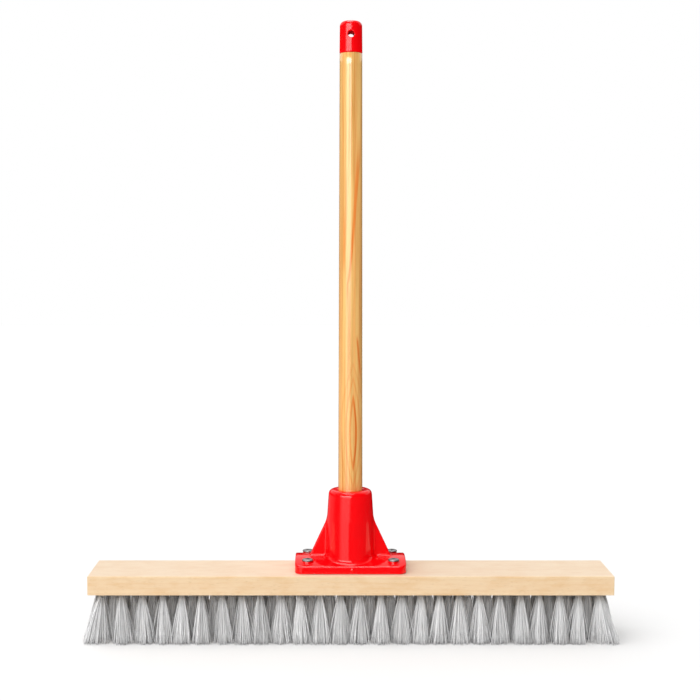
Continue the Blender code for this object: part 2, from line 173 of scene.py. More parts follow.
class WoodSettings(bpy.types.PropertyGroup):
    block_pale: colour("Block, pale", "Light part of the block's wood", (0.775, 0.575, 0.36))
    block_dark: colour("Block, dark", "Dark part of the block's wood", (0.69, 0.43, 0.20))
    handle_pale: colour("Handle, pale", "Light part of the handle's wood", (0.95, 0.57, 0.185))
    handle_dark: colour("Handle, dark", "Growth lines of the handle's wood", (0.78, 0.19, 0.015))
    steps: bpy.props.IntProperty(
        name="Turning steps", description="Sides of the turned pieces", default=112, min=24, max=256
    )


# ---------------------------------------------------------------- node trees written as expressions
class Value:
    """A socket that Python arithmetic turns into Math nodes."""

    def __init__(self, nodes, socket):
        self.nodes = nodes
        self.socket = socket

    def __add__(self, other):
        return self.nodes.calc("ADD", self, other)

    def __radd__(self, other):
        return self.nodes.calc("ADD", other, self)

    def __sub__(self, other):
        return self.nodes.calc("SUBTRACT", self, other)

    def __rsub__(self, other):
        return self.nodes.calc("SUBTRACT", other, self)

    def __mul__(self, other):
        return self.nodes.calc("MULTIPLY", self, other)

    def __truediv__(self, other):
        return self.nodes.calc("DIVIDE", self, other)

    def __pow__(self, other):
        return self.nodes.calc("POWER", self, other)

    def __neg__(self):
        return self.nodes.calc("MULTIPLY", self, -1.0)


class Nodes:
    """A node tree, shader or geometry, and the one way its nodes are made."""

    def __init__(self, tree):
        self.tree = tree
        tree.nodes.clear()

    def feed(self, socket, value):
        if isinstance(value, Value):
            self.tree.links.new(value.socket, socket)
        else:
            socket.default_value = value

    def add(self, kind, settings=None, values=None, output=0):
        """A node of that kind: its settings first, then the values or links of its sockets."""
        node = self.tree.nodes.new(kind)
        for name, setting in (settings or {}).items():
            if name == "stops":
                self.set_stops(node.color_ramp, setting)
            else:
                setattr(node, name, setting)
        for key, value in (values or {}).items():
            self.feed(node.inputs[key], value)
        if not node.outputs:
            return node
        return Value(self, node.outputs[output])

    def set_stops(self, ramp, stops):
        while len(ramp.elements) < len(stops):
            ramp.elements.new(1.0)
        for element, (position, tint) in zip(ramp.elements, stops):
            element.position = position
            element.color = (*tint, 1.0)

    def part(self, value, output):
        """Another output of the node that value comes from."""
        return Value(self, value.socket.node.outputs[output])

    def calc(self, operation, first, second=None):
        values = {0: first} if second is None else {0: first, 1: second}
        return self.add("ShaderNodeMath", {"operation": operation}, values)

    def hold(self, value, limit):
        """The value, kept between -limit and limit."""
        return self.calc("MAXIMUM", self.calc("MINIMUM", value, limit), -limit)

    def ramp(self, factor, stops):
        return self.add("ShaderNodeValToRGB", {"stops": stops}, {0: factor})

    def fade(self, value, low, high, new_low=0.0, new_high=1.0):
        """Runs smoothly from new_low to new_high while value runs from low to high."""
        settings = {"interpolation_type": "SMOOTHSTEP"}
        return self.add(
            "ShaderNodeMapRange", settings, {0: value, 1: low, 2: high, 3: new_low, 4: new_high}
        )

    def window(self, value, rise_from, rise_to, fall_from, fall_to):
        """0, then 1 between the rise and the fall, then 0 again."""
        return self.fade(value, rise_from, rise_to) * (1 - self.fade(value, fall_from, fall_to))

    def blend(self, factor, first, second, mode="MIX"):
        settings = {"data_type": "RGBA", "blend_type": mode}
        return self.add("ShaderNodeMix", settings, {0: factor, 6: first, 7: second}, output=2)

    def vector(self, operation, first, second=None, output=0):
        values = {0: first} if second is None else {0: first, 1: second}
        return self.add("ShaderNodeVectorMath", {"operation": operation}, values, output)

    def join(self, x, y, z):
        return self.add("ShaderNodeCombineXYZ", None, {0: x, 1: y, 2: z})

    def split(self, vector):
        x = self.add("ShaderNodeSeparateXYZ", None, {0: vector})
        return x, self.part(x, 1), self.part(x, 2)

    def noise(self, place, scale, detail, roughness):
        values = {"Vector": place, "Scale": scale, "Detail": detail, "Roughness": roughness}
        return self.add("ShaderNodeTexNoise", None, values)

    def bump(self, height, distance, strength):
        values = {"Height": height, "Distance": distance, "Strength": strength}
        return self.add("ShaderNodeBump", None, values)


def rgba(tint, gain=1.0):
    return (*[min(1.0, c * gain) for c in tint], 1.0)


def new_shader(name):
    """An empty material with a Principled shader wired to its output."""
    material = bpy.data.materials.new(name)
    material.use_nodes = True
    nodes = Nodes(material.node_tree)
    shader = nodes.tree.nodes.new("ShaderNodeBsdfPrincipled")
    output = nodes.tree.nodes.new("ShaderNodeOutputMaterial")
    nodes.tree.links.new(shader.outputs[0], output.inputs[0])
    return material, nodes, shader


def object_place(nodes):
    return nodes.part(nodes.add("ShaderNodeTexCoord"), "Object")


# ---------------------------------------------------------------- finishes
def late_wood(nodes, radius, pitch):
    """Dark late wood of the growth rings: rises slowly over a ring and stops short at its end."""
    return nodes.window(nodes.calc("FRACT", radius / pitch), 0.40, 0.86, 0.90, 0.99)


def near(nodes, value, middle, half_width, softness):
    """1 where value is within half_width of middle, fading out over softness."""
    apart = nodes.calc("ABSOLUTE", value - middle)
    return 1 - nodes.fade(apart, half_width - softness * 0.5, half_width + softness * 0.5)


def pine_figure(nodes, x, y, z, sway):
    """Designed figure of the handle's front: an orange band, a short streak, a dark flame, an eye."""
    band_foot, band_height = 0.419, 0.155
    rise = nodes.add("ShaderNodeClamp", None, {0: (z - band_foot) / band_height, 1: 0.0, 2: 1.0})
    drift = (sway - 0.5) * 0.003
    band = near(nodes, x + drift, rise ** 0.72 * 0.0128 - 0.0036, 0.0010 + rise * 0.0012, 0.0016)
    band = band * nodes.window(z, 0.375, 0.43, 0.53, 0.60)
    streak = near(nodes, x + drift * 0.5, -0.0078, 0.0010, 0.0014)
    streak = streak * nodes.window(z, 0.425, 0.45, 0.48, 0.515) * 0.6
    flame = near(nodes, x, 0.0390 - z * 0.0886, 0.0011, 0.0012)
    flame = flame * nodes.window(z, 0.300, 0.330, 0.350, 0.362)

    eye_x, eye_z, eye_half_width, eye_half_length = 0.0028, 0.2455, 0.0038, 0.041
    aside = nodes.calc("ABSOLUTE", x - eye_x)
    up = (z - eye_z) / eye_half_length
    eye = aside / eye_half_width + up * up + (sway - 0.5) * 0.7
    outline = near(nodes, eye, 1.0, 0.28, 0.26) * nodes.fade(x, 0.0, 0.006, 0.65, 1.25)
    second = near(nodes, eye, 2.35, 0.22, 0.36) * 0.45
    third = near(nodes, eye, 3.8, 0.24, 0.44) * 0.30
    return band, streak, flame + outline + second + third


def pine_finish(settings):
    """Varnished pine: fine straight streaks, faint growth lines, and the figure on its front."""
    material, nodes, shader = new_shader("turned_pine")
    x, y, z = nodes.split(object_place(nodes))
    front = 1 - nodes.fade(y, 0.001, 0.009)
    sway = nodes.noise(nodes.join(x * 30, y * 30, z * 9.0), 1.0, 2.0, 0.45)
    radius = nodes.vector("LENGTH", nodes.join(x + 0.034, y - 0.014, 0.0), output="Value")
    radius = radius + sway * 0.010
    broad = nodes.noise(nodes.join(x * 160, y * 160, z * 5.0), 1.0, 3.0, 0.5)
    streak = nodes.noise(nodes.join(x * 620, y * 620, z * 7.0), 1.0, 4.0, 0.6)
    lines = late_wood(nodes, radius, 0.0034) * nodes.fade(broad, 0.30, 0.65, 0.15, 1.0)
    lines = lines * (0.42 - front * 0.20)
    band, short, dark = pine_figure(nodes, x, y, z, sway)

    pale = nodes.blend(
        nodes.fade(broad, 0.35, 0.70), rgba(settings.handle_pale), rgba(settings.handle_pale, 0.86)
    )
    orange = rgba((0.93, 0.25, 0.03))
    tone = nodes.blend((band + short) * front * 0.85, pale, orange)
    tone = nodes.blend(lines, tone, rgba(settings.handle_dark))
    tone = nodes.blend(dark * front * 0.85, tone, rgba(settings.handle_dark))
    middling = nodes.noise(nodes.join(x * 330, y * 330, z * 3.5), 1.0, 2.0, 0.5)
    fibre = nodes.ramp(
        streak, [(0.36, (0.80, 0.62, 0.40)), (0.50, (0.96, 0.92, 0.84)), (0.62, (1.0, 1.0, 1.0))]
    )
    tone = nodes.blend(nodes.fade(middling, 0.52, 0.36) * 0.22, tone, orange)
    tone = nodes.blend(0.90, tone, nodes.blend(1.0, tone, fibre, "MULTIPLY"))
    nodes.feed(shader.inputs["Base Color"], tone)
    nodes.feed(shader.inputs["Roughness"], 0.34 + streak * 0.16)
    nodes.feed(shader.inputs["Normal"], nodes.bump(streak, 0.00005, 0.35))
    shader.inputs["Coat Weight"].default_value = 1.0
    shader.inputs["Coat IOR"].default_value = 1.75
    shader.inputs["Coat Roughness"].default_value = 0.11
    shader.inputs["Specular IOR Level"].default_value = 0.35
    return material


def block_finish(settings):
    """Pale sanded hardwood, its grain along the block: faint figure, soft mottling and short flecks."""
    material, nodes, shader = new_shader("sanded_block")
    x, y, z = nodes.split(object_place(nodes))
    sway = nodes.noise(nodes.join(x * 5, y * 9, z * 9), 1.0, 2.0, 0.45)
    radius = nodes.vector("LENGTH", nodes.join(y + 0.030, z + 0.055, 0.0), output="Value")
    late = late_wood(nodes, radius + sway * 0.020, 0.0058)
    cloud = nodes.noise(nodes.join(x * 34, y * 70, z * 95), 1.0, 3.0, 0.6)
    fibre = nodes.noise(nodes.join(x * 45, y * 1100, z * 1100), 1.0, 4.0, 0.6)
    rays = nodes.noise(nodes.join(x * 160, y * 800, z * 800), 1.0, 2.0, 0.5)
    fleck = nodes.fade(rays, 0.60, 0.74)

    amount = late * 0.16 + nodes.fade(cloud, 0.35, 0.72) * 0.52
    amount = amount + nodes.fade(fibre, 0.45, 0.75) * 0.14
    tone = nodes.blend(amount, rgba(settings.block_pale), rgba(settings.block_dark))
    tone = nodes.blend(fleck * 0.30, tone, rgba(settings.block_dark, 0.75))
    nodes.feed(shader.inputs["Base Color"], tone)
    nodes.feed(shader.inputs["Roughness"], 0.40 + fibre * 0.12)
    nodes.feed(shader.inputs["Normal"], nodes.bump(fibre, 0.00006, 0.35))
    shader.inputs["Specular IOR Level"].default_value = 0.6
    shader.inputs["Sheen Weight"].default_value = 0.72
    shader.inputs["Sheen Roughness"].default_value = 0.45
    return material


def plastic_finish(settings):
    """Glossy moulded polypropylene with a faint orange-peel skin, shared by the bracket and the cap."""
    ready = bpy.data.materials.get("moulded_red")
    if ready:
        return ready
    material, nodes, shader = new_shader("moulded_red")
    place = object_place(nodes)
    skin = nodes.noise(place, 420.0, 2.0, 0.5)
    swirl = nodes.noise(place, 38.0, 3.0, 0.55)
    tone = nodes.blend(
        nodes.fade(swirl, 0.3, 0.7), rgba(settings.red), rgba(settings.red, 0.95)
    )
    nodes.feed(shader.inputs["Base Color"], tone)
    nodes.feed(shader.inputs["Roughness"], 0.10 + swirl * 0.05)
    nodes.feed(shader.inputs["Normal"], nodes.bump(skin, 0.00004, 0.20))
    shader.inputs["IOR"].default_value = 1.49
    shader.inputs["Specular IOR Level"].default_value = 0.42
    return material


def steel_finish():
    """Zinc-plated steel: small dull patches and a fine grain."""
    material, nodes, shader = new_shader("plated_steel")
    place = object_place(nodes)
    patches = nodes.noise(place, 700.0, 3.0, 0.6)
    grain = nodes.noise(place, 3800.0, 2.0, 0.5)
    tone = nodes.ramp(patches, [(0.30, (0.22, 0.22, 0.22)), (0.70, (0.36, 0.357, 0.352))])
    nodes.feed(shader.inputs["Base Color"], tone)
    nodes.feed(shader.inputs["Roughness"], 0.40 + patches * 0.20)
    nodes.feed(shader.inputs["Normal"], nodes.bump(grain, 0.00002, 0.4))
    shader.inputs["Metallic"].default_value = 1.0
    return material


def bristle_finish(settings):
    """Grey plastic filaments, each of its own tone, with those in a tuft's core painted lighter;
    painted shade dims them at the root, painted light makes them palest just above the trim, and a
    painted contact shadow darkens the last millimetres above the floor.
    """
    material, nodes, shader = new_shader("grey_filament")
    shade = nodes.add("ShaderNodeAttribute", {"attribute_name": "shade"}, output="Fac")
    along = nodes.add("ShaderNodeAttribute", {"attribute_name": "along"}, output="Fac")
    # painted shade near the root under the block, and painted light from the floor just above the trim
    painted_light_along = 0.66 + nodes.fade(along, 0.02, 0.34) * 0.43 + nodes.fade(along, 0.72, 0.93) * 0.22
    gain = (0.60 + shade * 0.66) * painted_light_along
    # painted contact shadow: the filaments darker over their last millimetres above the floor
    gain = gain * (1 - nodes.fade(along, 0.955, 0.99) * 0.34)
    tip = 1 + nodes.fade(along, 0.955, 0.985) * nodes.fade(shade, 0.45, 0.90, 0.0, 0.35)
    value = gain * tip * settings.tone[1]
    tone = nodes.add("ShaderNodeCombineColor", None, {0: value, 1: value, 2: value * 1.003})
    nodes.feed(shader.inputs["Base Color"], tone)
    nodes.feed(shader.inputs["Roughness"], 0.42 + shade * 0.15)
    shader.inputs["Specular IOR Level"].default_value = 0.4
    return material


def paint(obj, material):
    obj.data.materials.clear()
    obj.data.materials.append(material)


# ---------------------------------------------------------------- mesh helpers
def new_object(name, mesh):
    obj = bpy.data.objects.new(name, mesh)
    bpy.context.scene.collection.objects.link(obj)
    return obj


def evaluated_copy(obj, name):
    """The object with its modifiers applied, as a new plain mesh."""
    depsgraph = bpy.context.evaluated_depsgraph_get()
    mesh = bpy.data.meshes.new_from_object(obj.evaluated_get(depsgraph))
    mesh.name = name
    return mesh


def mesh_from(bm, name):
    mesh = bpy.data.meshes.new(name)
    bm.to_mesh(mesh)
    bm.free()
    return mesh


def merged_copy(node, name):
    """A CAD node's mesh with its loose triangles joined."""
    bm = bmesh.new()
    bm.from_mesh(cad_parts[node].data)
    bmesh.ops.remove_doubles(bm, verts=bm.verts, dist=0.00001)
    return new_object(name, mesh_from(bm, name))


def turned_mesh(name, profile, steps, centre_y=0.0):
    """A closed turned piece on an upright axis; profile is (radius, height) from top to bottom."""
    bm = bmesh.new()
    rings = []
    for radius, height in profile:
        if radius == 0.0:
            rings.append([bm.verts.new((0.0, centre_y, height))])
            continue
        ring = []
        for i in range(steps):
            a = math.tau * i / steps
            ring.append(bm.verts.new((radius * math.cos(a), centre_y + radius * math.sin(a), height)))
        rings.append(ring)
    for upper, lower in zip(rings, rings[1:]):
        for i in range(steps):
            j = (i + 1) % steps
            if len(upper) == 1:
                bm.faces.new((upper[0], lower[i], lower[j]))
            elif len(lower) == 1:
                bm.faces.new((upper[i], lower[0], upper[j]))
            else:
                bm.faces.new((upper[i], lower[i], lower[j], upper[j]))
    bmesh.ops.recalc_face_normals(bm, faces=bm.faces)
    return mesh_from(bm, name)


def smooth(mesh, degrees):
    """Smooth shading, sharp where faces meet at more than this angle."""
    mesh.shade_smooth()
    mesh.set_sharp_from_angle(angle=math.radians(degrees))


def settle(mesh, distance, reach, rounds=6):
    """Moves a mesh's points onto the surface where distance(points) is zero, kept evenly spaced."""
    count = len(mesh.vertices)
    points = np.empty(count * 3)
    mesh.vertices.foreach_get("co", points)
    points = points.reshape(-1, 3)
    edges = np.empty(len(mesh.edges) * 2, dtype=int)
    mesh.edges.foreach_get("vertices", edges)
    a, b = edges.reshape(-1, 2).T
    neighbours = np.bincount(a, minlength=count) + np.bincount(b, minlength=count)
    step = 0.00005
    for number in range(rounds):
        if number < rounds - 1:
            total = np.zeros_like(points)
            np.add.at(total, a, points[b])
            np.add.at(total, b, points[a])
            points = points * 0.5 + 0.5 * total / neighbours[:, None]
        for _ in range(3):
            slope = np.empty_like(points)
            for axis in range(3):
                offset = np.zeros(3)
                offset[axis] = step
                rise = distance(points + offset) - distance(points - offset)
                slope[:, axis] = rise / (2 * step)
            size = np.maximum(np.sum(slope**2, axis=1), 0.25)
            move = -(distance(points) / size)[:, None] * slope
            far = np.maximum(np.linalg.norm(move, axis=1) / reach, 1.0)
            points = points + move / far[:, None]
    mesh.vertices.foreach_set("co", points.ravel())
    mesh.update()


def fused(a, b, radius):
    """Two distances joined, with a fillet between them."""
    inner = np.hypot(np.maximum(radius - a, 0.0), np.maximum(radius - b, 0.0))
    return np.maximum(radius, np.minimum(a, b)) - inner


def common(a, b, radius):
    """What lies inside both distances, with its edge rounded."""
    outer = np.hypot(np.maximum(radius + a, 0.0), np.maximum(radius + b, 0.0))
    return np.minimum(-radius, np.maximum(a, b)) + outer


def handle_radius(height):
    """The handle's tapered end: its radius at a height in the socket."""
    rim, tip = BRACKET_HIGH.z, HANDLE_LOW.z
    return TIP_RADIUS + (HANDLE_RADIUS - TIP_RADIUS) * (height - tip) / (rim - tip)


def from_screw(points, box):
    """How far the points are from a screw's axis."""
    centre = (box[0] + box[1]) / 2
    return np.hypot(points[:, 0] - centre.x, points[:, 1] - centre.y)


def bracket_distance(points, sizes):
    """Distance from the bracket's skin, negative inside the plastic."""
    x, y, z = points[:, 0], points[:, 1] - AXIS_Y, points[:, 2]
    bottom = BRACKET_LOW.z
    top = BLOCK_HIGH.z + GAP + PLATE_EDGE + sizes.crown
    half_length = (BRACKET_HIGH.x - BRACKET_LOW.x) / 2
    half_depth = (BRACKET_HIGH.y - BRACKET_LOW.y) / 2

    over_x = np.abs(x) - (half_length - sizes.corner)
    over_y = np.abs(y) - (half_depth - sizes.corner)
    outline = np.hypot(np.maximum(over_x, 0.0), np.maximum(over_y, 0.0)) - sizes.corner
    outline = outline + np.minimum(np.maximum(over_x, over_y), 0.0)
    bend = (half_depth**2 + sizes.crown**2) / (2 * sizes.crown)
    crown = np.hypot(y, z - (top - bend)) - bend

    out = np.hypot(x, y)
    gusset_top = BLOCK_HIGH.z + sizes.gusset_top
    heights = [bottom, gusset_top, BRACKET_HIGH.z]
    wall = np.interp(z, heights, [sizes.base_radius, sizes.waist_radius, sizes.rim_radius])
    across = np.maximum(out - sizes.lip_inner, 0.0) / (wall - sizes.lip_inner)
    up = np.maximum(z - (BRACKET_HIGH.z - sizes.lip_drop), 0.0) / sizes.lip_drop
    round_lip = (across**LIP_FULLNESS + up**LIP_FULLNESS + 1e-12) ** (1 / LIP_FULLNESS)
    socket = (round_lip - 1.0) * (wall - sizes.lip_inner)

    run = sizes.gusset_foot - sizes.waist_radius
    rise = gusset_top - top
    slope = (np.abs(x) - sizes.waist_radius) * rise + (z - gusset_top) * run
    slope = slope / math.hypot(run, rise)
    gussets = common(np.abs(y) - sizes.gusset_thickness / 2, slope, 0.0012)

    body = fused(crown, socket, sizes.fillet)
    body = fused(body, gussets, 0.0022)
    for box in SCREW_BOXES:
        above = z - (box[1].z - BOSS_DROP)
        side = from_screw(points, box) - BOSS_RADIUS + above * BOSS_DRAFT
        body = fused(body, common(side, above, 0.0005), 0.0012)
    body = common(body, outline, 0.0011)
    body = common(body, bottom - z, 0.0004)

    pip = np.array([0.0020, BRACKET_LOW.y + 0.0002, bottom + 0.0052])
    body = fused(body, np.linalg.norm(points - pip, axis=1) - PIP_RADIUS, 0.0004)

    bore = np.maximum(out - handle_radius(z) - 1.2 * GAP, bottom + SOCKET_FLOOR - z)
    body = common(body, -bore, 0.0008)
    for box in SCREW_BOXES:
        body = np.maximum(body, SCREW_HOLE_RADIUS - from_screw(points, box))
    return body


def cap_distance(points):
    """Distance from the cap's skin, negative inside the plastic."""
    x, y, z = points[:, 0], points[:, 1] - AXIS_Y, points[:, 2]
    out = np.hypot(x, y)
    half_width = (CAP_HIGH.x - CAP_LOW.x) / 2
    side = out - half_width + (z - CAP_LOW.z) * CAP_TAPER
    dome = np.hypot(out, z - (CAP_HIGH.z - CAP_DOME_RADIUS)) - CAP_DOME_RADIUS
    body = common(side, dome, CAP_EDGE)
    body = common(body, CAP_LOW.z - z, 0.0005)
    bore = np.maximum(out - CAP_BORE_RADIUS, z - (HANDLE_HIGH.z + GAP))
    body = common(body, -bore, 0.0003)
    hole = np.hypot(x, z - (CAP_HIGH.z - HANG_HOLE_DROP)) - HANG_HOLE_RADIUS
    return common(body, -hole, 0.0011)


def remeshed(node, name, cell):
    """A CAD node's shape as an even skin of small quads."""
    rough = merged_copy(node, name + "_rough")
    skin = rough.modifiers.new("Skin", "REMESH")
    skin.mode = "VOXEL"
    skin.voxel_size = cell
    skin.adaptivity = 0.0
    bpy.context.view_layer.update()
    mesh = evaluated_copy(rough, name)
    bpy.data.objects.remove(rough)
    return mesh


# ---------------------------------------------------------------- geometry node trees
def new_tree(name, inputs):
    """A geometry node tree with named inputs: (name, socket type, default)."""
    tree = bpy.data.node_groups.new(name, "GeometryNodeTree")
    tree.interface.new_socket("Geometry", in_out="OUTPUT", socket_type="NodeSocketGeometry")
    for label, kind, default in inputs:
        socket = tree.interface.new_socket(label, in_out="INPUT", socket_type=kind)
        if default is not None:
            socket.default_value = default
    nodes = Nodes(tree)
    source = tree.nodes.new("NodeGroupInput")
    given = {label: Value(nodes, source.outputs[label]) for label, _, _ in inputs}
    return tree, nodes, given


def finish_tree(nodes, geometry, material):
    realized = nodes.add("GeometryNodeRealizeInstances", None, {0: geometry})
    painted = nodes.add("GeometryNodeSetMaterial", None, {"Geometry": realized, "Material": material})
    end = nodes.tree.nodes.new("NodeGroupOutput")
    nodes.feed(end.inputs[0], painted)


def run_tree(name, tree, values):
    """The tree's result as a plain mesh object, for these values of its inputs."""
    carrier = new_object(name + "_carrier", bpy.data.meshes.new(name + "_carrier"))
    modifier = carrier.modifiers.new(name, "NODES")
    modifier.node_group = tree
    for item in tree.interface.items_tree:
        if item.in_out == "INPUT" and item.name in values:
            modifier[item.identifier] = values[item.name]
    bpy.context.view_layer.update()
    mesh = evaluated_copy(carrier, name)
    carrier.modifiers.clear()
    bpy.data.objects.remove(carrier)
    return new_object(name, mesh)


def random_value(nodes, low, high, seed, number):
    """A random number for each point, from the tree's seed and this use's own number."""
    settings = {"data_type": "FLOAT"}
    made = nodes.add("FunctionNodeRandomValue", settings, {2: low, 3: high, "Seed": seed + number})
    return nodes.part(made, 1)


def keep(nodes, geometry, name, value, kind="FLOAT"):
    settings = {"data_type": kind, "domain": "POINT"}
    values = {"Geometry": geometry, "Name": name, "Value": value}
    return nodes.add("GeometryNodeStoreNamedAttribute", settings, values)


def recall(nodes, name, kind="FLOAT"):
    return nodes.add("GeometryNodeInputNamedAttribute", {"data_type": kind}, {"Name": name})


def bristle_tree():
    """One row of tufts: points along the block, a bundle of bent filaments fanning out from each."""
    tree, nodes, given = new_tree("Bristle row", [
        ("Tufts", "NodeSocketInt", 26),
        ("Reach", "NodeSocketFloat", 0.29),
        ("Row Y", "NodeSocketFloat", -0.027),
        ("Root Z", "NodeSocketFloat", 0.06),
        ("Filaments", "NodeSocketInt", 190),
        ("Thickness", "NodeSocketFloat", 0.00056),
        ("Root Radius", "NodeSocketFloat", 0.0022),
        ("Fan Width", "NodeSocketFloat", 0.0119),
        ("Fan Depth", "NodeSocketFloat", 0.0100),
        ("End Reach", "NodeSocketFloat", BRISTLE_SPREAD),
        ("Lean Y", "NodeSocketFloat", 0.0),
        ("Unevenness", "NodeSocketFloat", 0.0009),
        ("Seed", "NodeSocketInt", 1),
        ("Material", "NodeSocketMaterial", None),
    ])
    seed = given["Seed"]
    start = nodes.join(-given["Reach"], given["Row Y"], given["Root Z"])
    finish = nodes.join(given["Reach"], given["Row Y"], given["Root Z"])
    row = nodes.add(
        "GeometryNodeMeshLine",
        {"mode": "END_POINTS"},
        {"Count": given["Tufts"], "Start Location": start, "Offset": finish},
    )
    nudge = nodes.join(random_value(nodes, -0.0011, 0.0011, seed, 4), 0.0, 0.0)
    spot_x, spot_y, spot_z = nodes.split(nodes.add("GeometryNodeInputPosition"))
    spot_x = nodes.add("ShaderNodeClamp", None, {0: spot_x, 1: -LAST_TUFT, 2: LAST_TUFT})
    spot = nodes.join(spot_x, spot_y, spot_z)
    row = nodes.add(
        "GeometryNodeSetPosition", None, {"Geometry": row, "Position": spot, "Offset": nudge}
    )
    row = keep(nodes, row, "tuft_shade", random_value(nodes, 0.0, 1.0, seed, 1))
    row = keep(nodes, row, "tuft_lean", random_value(nodes, -0.0016, 0.0016, seed, 2))
    row = keep(nodes, row, "tuft_width", random_value(nodes, 0.88, 1.10, seed, 3))
    many = nodes.add(
        "GeometryNodeDuplicateElements",
        {"domain": "POINT"},
        {"Geometry": row, "Amount": given["Filaments"]},
    )

    # where each filament stands in its round bundle: across the front and into the depth
    out = random_value(nodes, 0.0, 1.0, seed, 11) ** 0.95
    turn = random_value(nodes, 0.0, math.tau, seed, 12)
    across = out * nodes.calc("COSINE", turn)
    depth = out * nodes.calc("SINE", turn)
    place = nodes.add("GeometryNodeInputPosition")
    centre_x, centre_y, centre_z = nodes.split(place)

    root_x = centre_x + across * given["Root Radius"]
    root_y = centre_y + depth * given["Root Radius"]
    root = nodes.join(root_x, root_y, centre_z + 0.001)

    # tips along the block; the row's last tufts splay outward to the end reach
    wide = given["Fan Width"] * recall(nodes, "tuft_width")
    stray = random_value(nodes, -1.0, 1.0, seed, 13)
    stray = stray * stray * stray * 0.0058
    tip_x = centre_x + recall(nodes, "tuft_lean") + across * wide + stray
    last = nodes.calc("ABSOLUTE", centre_x)
    side = nodes.calc("SIGN", centre_x)
    is_last = nodes.fade(last, given["Reach"] * 0.945, given["Reach"] * 0.965)
    outward = nodes.fade(across * side, -1.0, 0.5)
    spare = given["End Reach"] - last - given["Fan Width"]
    splay = is_last * (outward * spare + outward * 0.0085 + 0.0012)
    widest = given["End Reach"] - random_value(nodes, 0.0, 0.003, seed, 22)
    tip_x = nodes.hold(tip_x + splay * side, widest)

    # tips across the block, and the trim; splayed filaments end higher
    stray_y = random_value(nodes, -1.0, 1.0, seed, 14)
    stray_y = stray_y * stray_y * stray_y * 0.0025
    tip_y = centre_y + depth * given["Fan Depth"] + given["Lean Y"] + stray_y
    deepest = BRISTLE_DEPTH - random_value(nodes, 0.0, 0.0020, seed, 24)
    tip_y = nodes.hold(tip_y, deepest)
    short = random_value(nodes, 0.0, 1.0, seed, 15)
    curl = is_last * nodes.fade(across * side, 0.15, 1.0) * random_value(nodes, 0.2, 1.0, seed, 25)
    tip_z = short * short * given["Unevenness"] + curl * 0.010
    tip = nodes.join(tip_x, tip_y, tip_z)

    bow_x = random_value(nodes, -0.0009, 0.0009, seed, 16)
    bow_y = random_value(nodes, -0.0009, 0.0009, seed, 17)
    bright = random_value(nodes, 0.0, 1.0, seed, 23) ** 7.0
    shade = random_value(nodes, 0.0, 0.50, seed, 18) + recall(nodes, "tuft_shade") * 0.14
    # painted light: filaments in the middle of a tuft get a lighter shade than those at its edge; the
    # rest of the shade is random tone
    shade = shade + bright * 0.62 + (1 - out) * 0.20
    size = given["Thickness"] * random_value(nodes, 0.85, 1.15, seed, 19)

    bow = nodes.join(bow_x, bow_y, 0.0)
    for name, vector in (("centre", place), ("root", root), ("tip", tip), ("bow", bow)):
        many = keep(nodes, many, name, vector, "FLOAT_VECTOR")
    many = keep(nodes, many, "shade", shade)
    many = keep(nodes, many, "size", size)
    many = keep(nodes, many, "spin", random_value(nodes, 0.0, math.tau, seed, 20))
    ease = 0.04 + out * 0.14 + random_value(nodes, -0.14, 0.14, seed, 21)
    many = keep(nodes, many, "ease", ease)

    straight = nodes.add(
        "GeometryNodeMeshCylinder",
        {"fill_type": "TRIANGLE_FAN"},
        {"Vertices": 3, "Side Segments": 4, "Radius": 0.5, "Depth": 1.0},
    )
    height = nodes.split(nodes.add("GeometryNodeInputPosition"))[2]
    straight = keep(nodes, straight, "along", 0.5 - height)
    spun = nodes.add("ShaderNodeCombineXYZ", None, {2: recall(nodes, "spin")})
    placed = nodes.add(
        "GeometryNodeInstanceOnPoints", None, {"Points": many, "Instance": straight, "Rotation": spun}
    )
    placed = nodes.add("GeometryNodeRealizeInstances", None, {0: placed})

    # bend each straight filament from its root to its tip, flaring fastest near the root
    along = recall(nodes, "along")
    centre = recall(nodes, "centre", "FLOAT_VECTOR")
    here = nodes.vector("SUBTRACT", nodes.add("GeometryNodeInputPosition"), centre)
    here_x, here_y, _ = nodes.split(here)
    width = recall(nodes, "size") * (1 - nodes.fade(along, 0.6, 1.0) * 0.25)
    ring = nodes.join(here_x * width, here_y * width, 0.0)
    root = recall(nodes, "root", "FLOAT_VECTOR")
    sweep = nodes.vector("SUBTRACT", recall(nodes, "tip", "FLOAT_VECTOR"), root)
    sweep_x, sweep_y, sweep_z = nodes.split(sweep)
    eased = along * (2 - along)
    ease = recall(nodes, "ease")
    flare = eased * ease + along * (1 - ease)
    path = nodes.join(sweep_x * flare, sweep_y * flare, sweep_z * along)
    arch = nodes.calc("SINE", along * math.pi)
    bend = nodes.add(
        "ShaderNodeVectorMath",
        {"operation": "SCALE"},
        {0: recall(nodes, "bow", "FLOAT_VECTOR"), "Scale": arch},
    )
    spot = nodes.vector("ADD", nodes.vector("ADD", root, path), nodes.vector("ADD", ring, bend))
    bent = nodes.add("GeometryNodeSetPosition", None, {"Geometry": placed, "Position": spot})
    of_filament = ("centre", "root", "tip", "bow", "size", "spin", "ease")
    of_tuft = ("tuft_shade", "tuft_lean", "tuft_width")
    for name in of_filament + of_tuft:
        bent = nodes.add("GeometryNodeRemoveAttribute", None, {"Geometry": bent, "Name": name})
    finish_tree(nodes, bent, given["Material"])
    return tree


